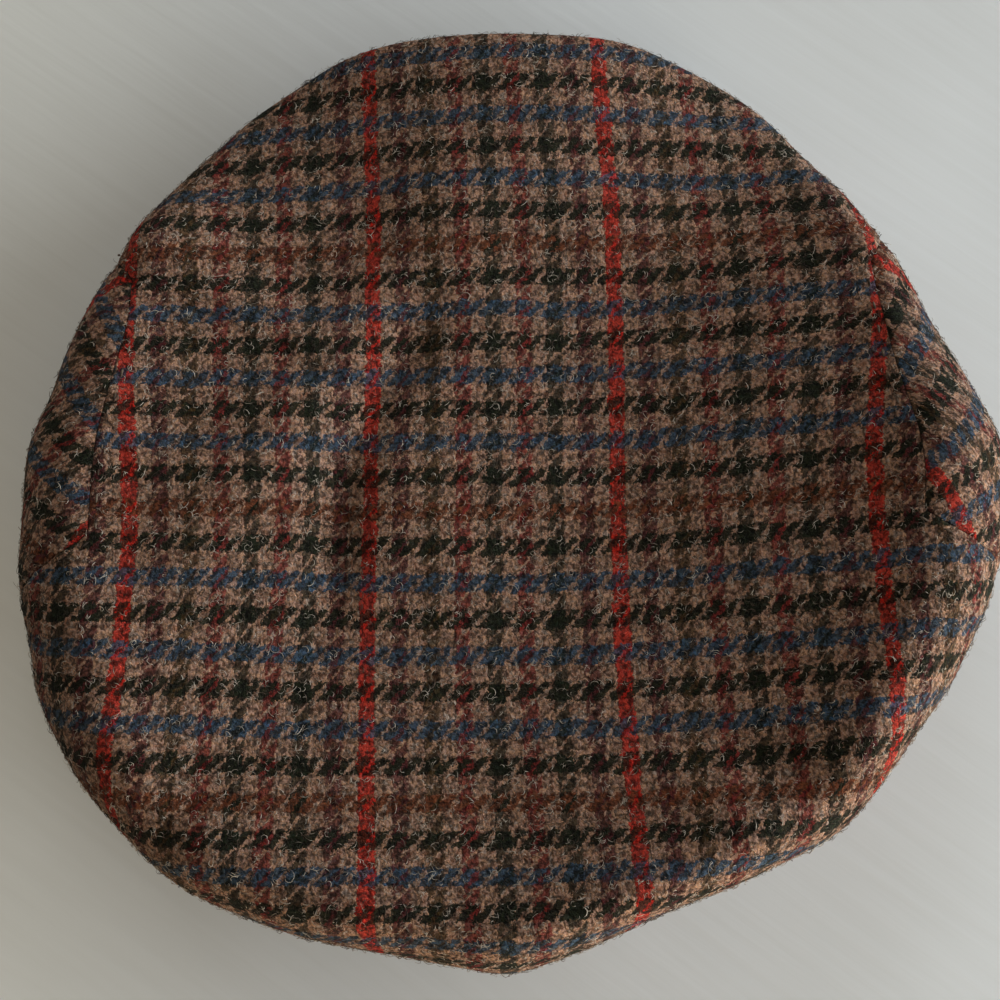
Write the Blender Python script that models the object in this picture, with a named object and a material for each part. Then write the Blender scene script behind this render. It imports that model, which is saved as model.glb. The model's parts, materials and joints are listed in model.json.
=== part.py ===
"""A tweed flat cap lying on its opening: a crown in three cloth panels over a short stiff peak.

The front is +Y, the right is +X, up is +Z, and the origin is under the middle of the cap, on the
surface that it lies on. Lengths are in metres and angles in degrees, counted from +X towards +Y.

Every point of the crown is crown_points(angle, place). The angle turns round the cap, and the
place runs along the cloth: 0 in the middle of the top, 1 at the rim's inner shoulder, 2 at the
widest bulge and 3 at the edge, which is the head opening or, at the front, the peak.
"""

from collections import namedtuple

import bpy
import numpy as np

# Driving sizes
HALF_WIDTH = 0.130  # plan reach that the section shares follow, half the cap's width
CROWN_HEIGHT = 0.060  # height of the rim at the back
FLOOR_HEIGHT = 0.037  # height of the sunken middle of the top
FLOOR_TILT = -0.04  # rise of the top's floor for each metre towards the front
CLOTH = 0.002  # wall of the tweed
HEM = 0.003  # wall of the turned-up edge at the head opening
HEM_PLACES = (2.6, 2.9)  # the wall grows to the hem's between these places of the cloth
SEAM_GAP = 0.0005  # space between two panels along a seam
SEAT_GAP = 0.0003  # space between the crown's front edge and the peak
OPENING_HALF_WIDTH = 0.092
OPENING_HALF_LENGTH = 0.097
OPENING_SETBACK = 0.011  # the opening's middle lies this far behind the cap's middle
PEAK_THICKNESS = 0.0035
PEAK_ARCH = 0.014  # height of the peak's underside at the middle of the front
PEAK_SPREAD = 52.0  # degrees from the front to the peak's corner
PEAK_FULL = 36.0  # degrees from the front to where the peak starts to narrow
PEAK_TAPER = 0.97  # how far the peak narrows to its corners, 1 to a point
PEAK_INSET = 0.0025  # the crown's nose stands this far past the peak's edge
PEAK_ROUND = 0.0012  # the bound edge of the peak bulges by this much
PEAK_EDGE_STEP = 0.3  # and starts this far from each face, as a share of its thickness
NOSE_TUCK = 0.0075  # the crown's cloth turns back under its nose by this much

# Turns of the crown's edge near the peak's corner, in degrees from the front
TUCK_FULL = 38.0  # up to here the edge is tucked under the nose
TUCK_NONE = 50.0  # from here the edge follows the head opening
SIDE_END = 46.0  # the side panels' front ends
SEAT_FULL = 56.0  # up to here the edge stays above the peak
SEAT_NONE = 66.0  # from here the edge lies on the surface

# How far each curve keeps its direction at its ends, as a share of its own run or drop
SHOULDER_HANDLE = 0.55
BULGE_HANDLE = 0.60
SIDE_HANDLE = 0.55
HEM_HANDLE = 0.35

# Mesh steps
COLUMN_STEP = 5.0  # degrees between columns of points round the crown
CORNER_STEP = 2.0  # the same behind the peak's corners
TURN_STEP = 1.25  # the same where the seam turns down over the side
CORNER_COLUMNS = 11
TOP_RINGS = 18
SIDE_RINGS = 10
PEAK_COLUMNS = 28
PEAK_RINGS = 5
RIM_RINGS = 0.6  # how many of the top's rings go to its rim and side, against its floor
EDGE = 3.0  # the place of the crown's edge
PLACE_STEP = 0.004  # small step along the cloth, in places, for slopes
TURN_NUDGE = 0.25  # small step round the cap, in degrees, for slopes
CREASE = 40.0  # faces that meet at more than this are shaded as an edge

Section = namedtuple("Section", "angle reach rim rise bulge steep")
# reach: plan reach, as a share of HALF_WIDTH. rim: radius of the rim's inner shoulder, as a share of
# the reach there. rise: height of that shoulder over the edge, as a share of CROWN_HEIGHT.
# bulge: height of the widest place, as a share of the rise. steep: power of the inner wall, 2 a
# shallow bowl and 4 a flat floor with a steep wall.
SECTIONS = (
    Section(0, 1.022, 0.785, 0.80, 0.56, 4.0),
    Section(15, 0.954, 0.825, 0.74, 0.55, 4.0),
    Section(30, 0.931, 0.89, 0.62, 0.55, 3.5),
    Section(45, 0.947, 0.93, 0.38, 0.52, 2.5),
    Section(60, 0.979, 0.95, 0.19, 0.50, 2.4),
    Section(75, 0.977, 0.955, 0.16, 0.50, 2.4),
    Section(90, 0.962, 0.955, 0.155, 0.50, 2.4),
    Section(105, 0.977, 0.955, 0.16, 0.50, 2.4),
    Section(120, 0.978, 0.95, 0.19, 0.50, 2.4),
    Section(135, 0.954, 0.93, 0.36, 0.52, 2.4),
    Section(150, 0.951, 0.88, 0.58, 0.54, 2.2),
    Section(165, 0.951, 0.84, 0.72, 0.55, 2.0),
    Section(180, 0.991, 0.81, 0.78, 0.56, 2.0),
    Section(195, 1.020, 0.81, 0.82, 0.58, 2.0),
    Section(210, 1.053, 0.83, 0.86, 0.60, 2.2),
    Section(225, 1.060, 0.85, 0.90, 0.60, 2.5),
    Section(240, 1.032, 0.87, 0.94, 0.62, 2.8),
    Section(255, 0.986, 0.88, 0.98, 0.63, 3.2),
    Section(270, 0.980, 0.88, 1.00, 0.64, 3.4),
    Section(285, 0.942, 0.88, 0.98, 0.64, 3.4),
    Section(300, 0.945, 0.88, 0.95, 0.63, 3.4),
    Section(315, 0.976, 0.87, 0.91, 0.62, 3.6),
    Section(330, 0.981, 0.83, 0.87, 0.60, 3.8),
    Section(345, 1.012, 0.79, 0.83, 0.58, 4.0),
)

SEAM_LOWEST = 2.9  # a side panel keeps at least the rest of the cloth below this place

Seam = namedtuple("Seam", "angle place")
# Where the seam between the top panel and the side panels lies. It comes up over the bulge behind
# the peak's corners, runs along the rim at the sides, and goes down below the bulge at the back.
SEAMS = (
    Seam(7, 1.03),
    Seam(20, 1.06),
    Seam(29, 1.15),
    Seam(32.5, 1.95),
    Seam(37, 2.40),
    Seam(44, 2.85),
    Seam(90, 3.00),
    Seam(136, 2.85),
    Seam(143, 2.40),
    Seam(151, 1.95),
    Seam(154, 1.20),
    Seam(161, 1.06),
    Seam(174, 1.05),
    Seam(190, 1.05),
    Seam(198, 2.05),
    Seam(210, 2.20),
    Seam(240, 2.28),
    Seam(270, 2.22),
    Seam(300, 2.28),
    Seam(330, 2.20),
    Seam(345, 2.05),
    Seam(353, 1.04),
)

# The seam turns down over the side between these angles
SEAM_TURN_LEFT = (190.0, 198.0)
SEAM_TURN_RIGHT = (345.0, 353.0)

Dent = namedtuple("Dent", "name x y length width depth turn")
# Places, half-lengths and half-widths are shares of HALF_WIDTH, depths shares of CROWN_HEIGHT. The turn
# is that of the dent's length from +X. A negative depth raises a soft fold.
DENT_FADE = (1.0, 1.9)  # the dents die out between these places of the cloth
DENTS = (
    Dent("valley_front", -0.24, 0.18, 0.21, 0.060, 0.060, 65),
    Dent("valley_back", -0.345, -0.14, 0.21, 0.060, 0.074, 86),
    Dent("fold_left", -0.50, -0.02, 0.38, 0.12, -0.055, 57),
    Dent("fold_front", -0.16, 0.42, 0.22, 0.10, -0.020, 70),
    Dent("dip_middle", 0.19, -0.06, 0.50, 0.21, 0.066, 88),
    Dent("crease_back_left", -0.66, -0.72, 0.12, 0.06, 0.050, 50),
    Dent("crease_back_right", 0.57, -0.66, 0.22, 0.07, 0.045, 150),
)


def around(rows, column, angle, limited=False):
    """Reads a column at any angle, by a smooth periodic cubic through the table's rows.

    With limited, each slope is held to that of the flatter neighbouring stretch, so that a curve
    with a sudden turn doesn't overshoot.
    """
    knots = np.array([row.angle for row in rows], float)
    values = np.array([getattr(row, column) for row in rows], float)
    knots = np.concatenate([knots[-2:] - 360, knots, knots[:3] + 360])
    values = np.concatenate([values[-2:], values, values[:3]])
    steps = np.diff(knots)
    rates = np.diff(values) / steps
    slopes = np.zeros_like(values)
    if limited:
        same = rates[1:] * rates[:-1] > 0
        total = np.where(same, rates[1:] + rates[:-1], 1.0)
        slopes[1:-1] = np.where(same, 2 * rates[1:] * rates[:-1] / total, 0.0)
    else:
        slopes[1:-1] = (values[2:] - values[:-2]) / (knots[2:] - knots[:-2])
    turn = np.mod(np.asarray(angle, float), 360)
    k = np.clip(np.searchsorted(knots, turn, side="right") - 1, 1, len(knots) - 3)
    u = (turn - knots[k]) / steps[k]
    start = values[k] * (1 + 2 * u) * (1 - u) ** 2 + slopes[k] * steps[k] * u * (1 - u) ** 2
    end = values[k + 1] * u**2 * (3 - 2 * u) + slopes[k + 1] * steps[k] * u**2 * (u - 1)
    return start + end


def fade(value, full, none):
    """Falls smoothly from 1 at full to 0 at none."""
    u = np.clip((value - full) / (none - full), 0, 1)
    return 1 - u * u * (3 - 2 * u)


def from_front(angle):
    """Degrees between an angle and the front of the cap."""
    return np.abs(np.mod(angle - 90 + 180, 360) - 180)


def opening_radius(angle):
    """Distance from the cap's middle to the head opening, an ellipse set back."""
    east, north = np.cos(np.radians(angle)), np.sin(np.radians(angle))
    a = (east / OPENING_HALF_WIDTH) ** 2 + (north / OPENING_HALF_LENGTH) ** 2
    b = north * OPENING_SETBACK / OPENING_HALF_LENGTH**2
    c = (OPENING_SETBACK / OPENING_HALF_LENGTH) ** 2 - 1
    return (np.sqrt(b * b - a * c) - b) / a


def peak_underside(angle):
    """Height of the peak's underside: an arch from corner to corner."""
    turn = np.clip(from_front(angle) / PEAK_SPREAD, 0, 1)
    return PEAK_ARCH * np.cos(turn * np.pi / 2) ** 2


def edge_height(angle):
    """Height of the crown's edge: on the peak at the front, on the surface elsewhere."""
    seat = peak_underside(angle) + PEAK_THICKNESS + SEAT_GAP
    return seat * (1 - at_opening(angle))


def bezier(start, first, second, end, u):
    """Cubic Bezier curve between two numbers with two handles."""
    v = 1 - u
    return start * v**3 + 3 * first * v**2 * u + 3 * second * v * u**2 + end * u**3


def dent_depth(x, y):
    """Sum of the dents at a place in plan, each a bell that is longer than it is wide."""
    depth = np.zeros_like(x)
    for dent in DENTS:
        turn = np.radians(dent.turn)
        dx, dy = x - dent.x * HALF_WIDTH, y - dent.y * HALF_WIDTH
        along = (dx * np.cos(turn) + dy * np.sin(turn)) / (dent.length * HALF_WIDTH)
        across = (dy * np.cos(turn) - dx * np.sin(turn)) / (dent.width * HALF_WIDTH)
        depth += dent.depth * CROWN_HEIGHT * np.exp(-(along**2) - across**2)
    return depth


def crown_points(angle, place):
    """Points of the crown's outer face: a sunken floor, a rounded rim and a tucked side."""
    angle, place = np.broadcast_arrays(np.asarray(angle, float), np.asarray(place, float))
    reach = around(SECTIONS, "reach", angle) * HALF_WIDTH
    shoulder = around(SECTIONS, "rim", angle) * reach
    foot = edge_height(angle)
    rise = around(SECTIONS, "rise", angle) * CROWN_HEIGHT
    rim = foot + rise
    widest = foot + around(SECTIONS, "bulge", angle) * rise
    steep = around(SECTIONS, "steep", angle)
    tuck = fade(from_front(angle), TUCK_FULL, TUCK_NONE)
    hole = opening_radius(angle)
    edge = hole + tuck * (reach - NOSE_TUCK - hole)

    # The floor is tilted to the front, and rises as a power of the radius up to the shoulder
    tilt = FLOOR_TILT * np.sin(np.radians(angle))
    bank = rim - FLOOR_HEIGHT - tilt * shoulder
    u = np.clip(place, 0, 1)
    radius = shoulder * u
    height = FLOOR_HEIGHT + tilt * radius + bank * u**steep

    # The rim turns over to the bulge, leaving the floor in the floor's own direction
    u = np.clip(place - 1, 0, 1)
    slope = tilt + steep * bank / shoulder
    run = SHOULDER_HANDLE * (reach - shoulder)
    over_r = bezier(shoulder, shoulder + run, reach, reach, u)
    over_z = bezier(rim, rim + run * slope, widest + BULGE_HANDLE * (rim - widest), widest, u)
    radius = np.where(place > 1, over_r, radius)
    height = np.where(place > 1, over_z, height)

    # The side turns in below the bulge: upright at the opening, level under the nose
    u = np.clip(place - 2, 0, 1)
    drop = widest - foot
    level = SIDE_HANDLE * tuck * (reach - edge)
    upright = HEM_HANDLE * (1 - tuck) * drop
    side_r = bezier(reach, reach, edge + level, edge, u)
    side_z = bezier(widest, widest - SIDE_HANDLE * drop, foot + upright, foot, u)
    radius = np.where(place > 2, side_r, radius)
    height = np.where(place > 2, side_z, height)

    x, y = radius * np.cos(np.radians(angle)), radius * np.sin(np.radians(angle))
    height = height - dent_depth(x, y) * fade(place, *DENT_FADE)
    return np.stack([x, y, height], axis=-1)


def crown_normals(angle, place):
    """Unit normals of the outer face, from small steps along and across the cloth."""
    angle, place = np.broadcast_arrays(np.asarray(angle, float), np.asarray(place, float))
    low, high = np.maximum(place - PLACE_STEP, 0), np.minimum(place + PLACE_STEP, EDGE)
    middle = np.maximum(place, PLACE_STEP)
    along = crown_points(angle, high) - crown_points(angle, low)
    across = crown_points(angle + TURN_NUDGE, middle) - crown_points(angle - TURN_NUDGE, middle)
    normal = np.cross(along, across)
    normal /= np.linalg.norm(normal, axis=-1, keepdims=True)
    normal[place <= 0] = (0, 0, 1)
    return normal


def at_opening(angle):
    """1 where the crown's edge is the head opening's hem, on the surface, and 0 on the peak."""
    return 1 - fade(from_front(angle), SEAT_FULL, SEAT_NONE)


def wall(angle, place):
    """Wall of the cloth, thicker in the turned-up hem at the head opening."""
    hem = 1 - fade(place, *HEM_PLACES)
    return CLOTH + (HEM - CLOTH) * hem * at_opening(angle)


def seam_place(angle, side):
    """Place of a panel's edge at the seam: half the gap above it (-1) or below it (1).

    Where the seam runs steeply, the step along the cloth grows, so that the gap stays as wide.
    """
    middle = np.minimum(around(SEAMS, "place", angle, limited=True), SEAM_LOWEST)
    before = around(SEAMS, "place", angle - TURN_NUDGE, limited=True)
    after = around(SEAMS, "place", angle + TURN_NUDGE, limited=True)
    across = crown_points(angle + TURN_NUDGE, middle) - crown_points(angle - TURN_NUDGE, middle)
    length = crown_points(angle, middle + PLACE_STEP) - crown_points(angle, middle - PLACE_STEP)
    per_place = np.linalg.norm(length, axis=-1) / (2 * PLACE_STEP)
    slant = (after - before) * per_place / np.linalg.norm(across, axis=-1)
    return middle + side * SEAM_GAP / 2 * np.sqrt(1 + slant**2) / per_place


def column_angles():
    """Angles of the columns round the crown, closer together where the seam runs steeply."""
    corner = np.arange(CORNER_COLUMNS + 1) * CORNER_STEP + SIDE_END
    turn = np.arange(SEAM_TURN_LEFT[0], SEAM_TURN_LEFT[1] + TURN_STEP, TURN_STEP)
    other_turn = np.arange(SEAM_TURN_RIGHT[0], SEAM_TURN_RIGHT[1] + TURN_STEP, TURN_STEP)
    close = [(90 - corner)[::-1], 90 + corner, turn, other_turn]
    angles = np.arange(0, 360, COLUMN_STEP)
    for group in close:
        clear = (angles < group[0] - CORNER_STEP / 2) | (angles > group[-1] + CORNER_STEP / 2)
        angles = np.sort(np.concatenate([angles[clear], group]))
    return angles


def plan_middle():
    """Middle of the crown's outline in plan, which is where the origin goes."""
    points = crown_points(np.linspace(0, 360, 721), 2.0)
    return (points.max(axis=0) + points.min(axis=0)) / 2 * (1, 1, 0)


def sheet_faces(columns, rings, closed):
    """Quads of a sheet with two faces and its borders, for an outer grid then an inner grid.

    A closed sheet goes all the way round, and its first ring is one point, filled by a fan.
    """
    def outer(i, k):
        return (i % columns) * rings + k

    def inner(i, k):
        return columns * rings + outer(i, k)

    faces = []
    for i in range(columns if closed else columns - 1):
        for k in range(rings - 1):
            faces.append((outer(i, k), outer(i, k + 1), outer(i + 1, k + 1), outer(i + 1, k)))
            faces.append((inner(i, k), inner(i + 1, k), inner(i + 1, k + 1), inner(i, k + 1)))
        end = rings - 1
        faces.append((outer(i, end), inner(i, end), inner(i + 1, end), outer(i + 1, end)))
        if not closed:
            faces.append((outer(i, 0), outer(i + 1, 0), inner(i + 1, 0), inner(i, 0)))
    if not closed:
        last = columns - 1
        for k in range(rings - 1):
            faces.append((outer(0, k), inner(0, k), inner(0, k + 1), outer(0, k + 1)))
            faces.append((outer(last, k), outer(last, k + 1), inner(last, k + 1), inner(last, k)))
    return faces


def add_sheet(name, outer, inner, closed, material):
    """Makes one closed solid from the outer and inner face of a sheet."""
    columns, rings = outer.shape[:2]
    points = np.concatenate([outer.reshape(-1, 3), inner.reshape(-1, 3)]) - plan_middle()
    faces = sheet_faces(columns, rings, closed)
    if closed:
        # Every column starts at the same two middle points, so each keeps the first one's
        firsts = {i * rings: 0 for i in range(columns)}
        firsts.update({(columns + i) * rings: columns * rings for i in range(columns)})
        faces = [[firsts.get(p, p) for p in face] for face in faces]
        faces = [list(dict.fromkeys(face)) for face in faces]
    used = np.unique(np.concatenate([np.array(face) for face in faces]))
    renumber = {int(old): new for new, old in enumerate(used)}
    faces = [[renumber[int(p)] for p in face] for face in faces]
    mesh = bpy.data.meshes.new(name)
    mesh.from_pydata(points[used].tolist(), [], faces)
    mesh.shade_smooth()
    mesh.set_sharp_from_angle(angle=np.radians(CREASE))
    mesh.materials.append(material)
    piece = bpy.data.objects.new(name, mesh)
    bpy.context.collection.objects.link(piece)
    return piece


def tweed(name, color):
    """Plain woollen finish."""
    material = bpy.data.materials.new(name)
    material.use_nodes = True
    shader = material.node_tree.nodes["Principled BSDF"]
    shader.inputs["Base Color"].default_value = (*color, 1)
    shader.inputs["Roughness"].default_value = 0.95
    return material


def add_crown_sheet(name, angle, place, closed, material):
    """One panel of the crown: the outer face and, a wall further in, the inner face."""
    outer = crown_points(angle, place)
    inner = outer - crown_normals(angle, place) * wall(angle, place)[..., None]
    # The hem's lower face is level, so that the cap rests on it
    level = at_opening(angle) * (place >= EDGE)
    inner[..., 2] += level * (outer[..., 2] - inner[..., 2])
    return add_sheet(name, outer, inner, closed, material)


def add_top_panel(material):
    """The crown's top, from its middle to the seams and, at the front, to the peak."""
    angle = column_angles()
    end = np.where(from_front(angle) > SIDE_END - CORNER_STEP / 2, seam_place(angle, -1), EDGE)
    # The share of the rings that the floor gets falls as the rim's stretch grows
    floor = 1 / (1 + RIM_RINGS * (end - 1))
    u = np.arange(TOP_RINGS + 1)[None, :] / TOP_RINGS
    floor, end = floor[:, None], end[:, None]
    place = np.where(u < floor, u / floor, 1 + (end - 1) * (u - floor) / (1 - floor))
    return add_crown_sheet("top_panel", angle[:, None], place, True, material)


def add_side_panel(name, side, material):
    """A side panel, from the seam at the centre back to the peak's corner on its side."""
    angle = column_angles()
    turns = np.sort(np.mod(side * (angle - 270), 360))
    turns = turns[turns < 180 - SIDE_END + CORNER_STEP / 2]
    turns[0] = np.degrees(SEAM_GAP / 2 / opening_radius(270))
    angle = np.sort(270 + side * turns)
    start = seam_place(angle, 1)[:, None]
    v = np.arange(SIDE_RINGS + 1)[None, :] / SIDE_RINGS
    place = np.minimum(start + (EDGE - start) * v, EDGE)
    place[:, -1] = EDGE
    return add_crown_sheet(name, angle[:, None], place, False, material)


def add_peak(material):
    """The stiff peak: an arched crescent from the opening's front to under the crown's nose."""
    angle = np.linspace(90 - PEAK_SPREAD, 90 + PEAK_SPREAD, PEAK_COLUMNS + 1)[:, None]
    near = opening_radius(angle)
    full = around(SECTIONS, "reach", angle) * HALF_WIDTH - PEAK_INSET - PEAK_ROUND
    narrowing = np.clip((from_front(angle) - PEAK_FULL) / (PEAK_SPREAD - PEAK_FULL), 0, 1)
    far = near + (full - near) * np.sqrt(1 - PEAK_TAPER * narrowing**2)
    u = np.arange(PEAK_RINGS + 1)[None, :] / PEAK_RINGS
    radius = near + (far - near) * u
    under = peak_underside(angle) + 0 * radius
    # One more ring of points makes the outer edge round: half the wall, further out
    radius = np.concatenate([radius, far + PEAK_ROUND], axis=1)
    under = np.concatenate([under, under[:, -1:]], axis=1)
    round_off = np.zeros_like(radius)
    round_off[:, -1] = PEAK_EDGE_STEP * PEAK_THICKNESS
    x, y = radius * np.cos(np.radians(angle)), radius * np.sin(np.radians(angle))
    upper = np.stack([x, y, under + PEAK_THICKNESS - round_off], axis=-1)
    lower = np.stack([x, y, under + round_off], axis=-1)
    return add_sheet("peak", upper, lower, False, material)


def build():
    """Builds the four pieces."""
    for item in list(bpy.data.objects):
        bpy.data.objects.remove(item, do_unlink=True)
    top = tweed("tweed_top", (0.16, 0.11, 0.075))
    side = tweed("tweed_side", (0.14, 0.095, 0.065))
    under = tweed("tweed_peak", (0.12, 0.08, 0.055))
    add_top_panel(top)
    add_side_panel("left_side_panel", -1, side)
    add_side_panel("right_side_panel", 1, side)
    add_peak(under)


build()
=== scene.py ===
"""Looks of a checked tweed flat cap that lies on its opening on a pale table.

The front is +Y, the right is +X and up is +Z, in metres. Every point of the crown is worked out
from an angle round the cap, in degrees from +X towards +Y, and a place along the cloth: 0 in the
middle of the top, 1 at the rim's inner shoulder, 2 at the widest bulge and 3 at the edge.
"""

import json
import logging
from collections import namedtuple
from dataclasses import dataclass
from enum import Enum
from math import cos, pi, radians, sin, tan

import bpy
import numpy as np
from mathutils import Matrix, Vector

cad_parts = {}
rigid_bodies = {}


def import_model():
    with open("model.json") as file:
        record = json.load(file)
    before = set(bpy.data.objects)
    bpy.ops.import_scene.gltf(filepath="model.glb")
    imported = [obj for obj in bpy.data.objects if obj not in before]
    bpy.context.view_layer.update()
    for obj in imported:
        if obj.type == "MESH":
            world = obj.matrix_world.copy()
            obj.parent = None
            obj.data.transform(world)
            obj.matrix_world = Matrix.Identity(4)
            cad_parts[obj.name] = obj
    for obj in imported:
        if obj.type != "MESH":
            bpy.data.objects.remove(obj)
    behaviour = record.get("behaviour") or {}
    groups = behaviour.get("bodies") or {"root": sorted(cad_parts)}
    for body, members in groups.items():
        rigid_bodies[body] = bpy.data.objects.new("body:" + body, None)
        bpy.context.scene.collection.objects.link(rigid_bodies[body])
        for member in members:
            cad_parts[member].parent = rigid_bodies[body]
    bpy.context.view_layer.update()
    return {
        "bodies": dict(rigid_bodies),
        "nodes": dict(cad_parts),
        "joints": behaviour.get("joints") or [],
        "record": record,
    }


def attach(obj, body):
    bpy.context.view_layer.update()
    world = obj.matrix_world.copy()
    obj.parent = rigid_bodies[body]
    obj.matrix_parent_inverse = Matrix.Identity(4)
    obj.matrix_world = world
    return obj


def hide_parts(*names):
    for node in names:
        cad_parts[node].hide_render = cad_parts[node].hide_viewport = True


LOG = logging.getLogger("flat_cap")
MM = 0.001
SQUARE_CM = 1e-4
SECTION_STEP = 15
Grid = np.ndarray

Section = namedtuple("Section", "angle reach rim rise bulge steep")
Seam = namedtuple("Seam", "angle place")
Dent = namedtuple("Dent", "name x y length width depth turn")
Pull = namedtuple("Pull", "name x y length width across along turn")
Window = namedtuple("Window", "name azimuth elevation distance width height power color")
Fray = namedtuple("Fray", "scale detail amount")
Mottle = namedtuple("Mottle", "scale detail twist low high first last")

TOP_SEED, SIDE_SEED, PEAK_SEED = 11, 31, 41
TOP_BATCHES, SIDE_FIBRES, PEAK_FIBRES = 3, 3000, 800
PERIOD_SPREAD = (0.7, 1.5)
LEAST_AREA = 1e-12
LEAST_SHARE = 1e-9


class Side(Enum):
    """Which side panel: the sign is that of +X."""

    LEFT = -1
    RIGHT = 1


class Yarn(Enum):
    """Dyed yarns of the check, as linear colours."""

    TAN = (0.224, 0.150, 0.116)
    RED = (0.270, 0.012, 0.007)
    MAROON = (0.105, 0.014, 0.013)
    PLUM = (0.052, 0.012, 0.014)
    OLIVE = (0.034, 0.022, 0.009)
    GREEN = (0.007, 0.010, 0.005)
    BLUE = (0.027, 0.050, 0.084)
    RUSSET = (0.095, 0.034, 0.017)


def fade(value: Grid, full: float, none: float) -> Grid:
    """Falls smoothly from 1 at full to 0 at none."""
    u = np.clip((value - full) / (none - full), 0, 1)
    return 1 - u * u * (3 - 2 * u)


def bezier(start: Grid, first: Grid, second: Grid, end: Grid, u: Grid) -> Grid:
    """Cubic Bezier curve between two numbers with two handles."""
    v = 1 - u
    return start * v**3 + 3 * first * v**2 * u + 3 * second * v * u**2 + end * u**3


def around(rows: tuple, column: str, angle: Grid, limited: bool = False) -> Grid:
    """Reads a column of a table at any angle, by a smooth periodic cubic through its rows.

    Args:
        rows: rows with an angle, in growing order.
        column: name of the column to read.
        angle: degrees.
        limited: holds each slope to that of the flatter neighbouring stretch.

    Returns:
        The column's value at each angle.
    """
    knots = np.array([row.angle for row in rows], float)
    values = np.array([getattr(row, column) for row in rows], float)
    knots = np.concatenate([knots[-2:] - 360, knots, knots[:3] + 360])
    values = np.concatenate([values[-2:], values, values[:3]])
    steps = np.diff(knots)
    rates = np.diff(values) / steps
    slopes = np.zeros_like(values)
    if limited:
        same = rates[1:] * rates[:-1] > 0
        total = np.where(same, rates[1:] + rates[:-1], 1.0)
        slopes[1:-1] = np.where(same, 2 * rates[1:] * rates[:-1] / total, 0.0)
    else:
        slopes[1:-1] = (values[2:] - values[:-2]) / (knots[2:] - knots[:-2])
    turn = np.mod(np.asarray(angle, float), 360)
    k = np.clip(np.searchsorted(knots, turn, side="right") - 1, 1, len(knots) - 3)
    u = (turn - knots[k]) / steps[k]
    start = values[k] * (1 + 2 * u) * (1 - u) ** 2 + slopes[k] * steps[k] * u * (1 - u) ** 2
    end = values[k + 1] * u**2 * (3 - 2 * u) + slopes[k + 1] * steps[k] * u**2 * (u - 1)
    return start + end


def compass(angle: Grid) -> tuple:
    """Cosine and sine of angles in degrees."""
    return np.cos(np.radians(angle)), np.sin(np.radians(angle))


def bells(rows: tuple, unit: float, x: Grid, y: Grid, column: str) -> Grid:
    """Sum of bells in plan, each exp(-(along / length)^2 - (across / width)^2) times a column.

    Args:
        rows: rows with x, y, length, width and turn, where lengths are shares of the unit.
        unit: the length that the shares follow.
        x: plan places.
        y: plan places.
        column: the rows' column that gives each bell's height.

    Returns:
        The sum at each place, in the column's own unit.
    """
    total = np.zeros(np.broadcast(x, y).shape)
    for row in rows:
        turn = radians(row.turn)
        dx, dy = x - row.x * unit, y - row.y * unit
        along = (dx * cos(turn) + dy * sin(turn)) / (row.length * unit)
        across = (dy * cos(turn) - dx * sin(turn)) / (row.width * unit)
        total += getattr(row, column) * np.exp(-(along**2) - across**2)
    return total


def waves(points: Grid, period: float, count: int, seed: int) -> Grid:
    """Soft ripple between about -1 and 1: a sum of sines in random directions.

    Each wave is sin(2 pi (direction . point) / period + phase), with its own period near the
    given one, and the sum is divided by the root of half their number.

    Args:
        points: where the ripple is wanted.
        period: the usual distance between two crests.
        count: how many waves.
        seed: seed of their directions and phases.

    Returns:
        The ripple at each point.
    """
    draw = np.random.default_rng(seed)
    total = np.zeros(points.shape[:-1])
    for _ in range(count):
        direction = draw.normal(size=3)
        direction /= np.linalg.norm(direction)
        rate = 2 * pi / (period * draw.uniform(*PERIOD_SPREAD))
        total += np.sin(points @ direction * rate + draw.uniform(0, 2 * pi))
    return total / np.sqrt(count / 2)


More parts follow.
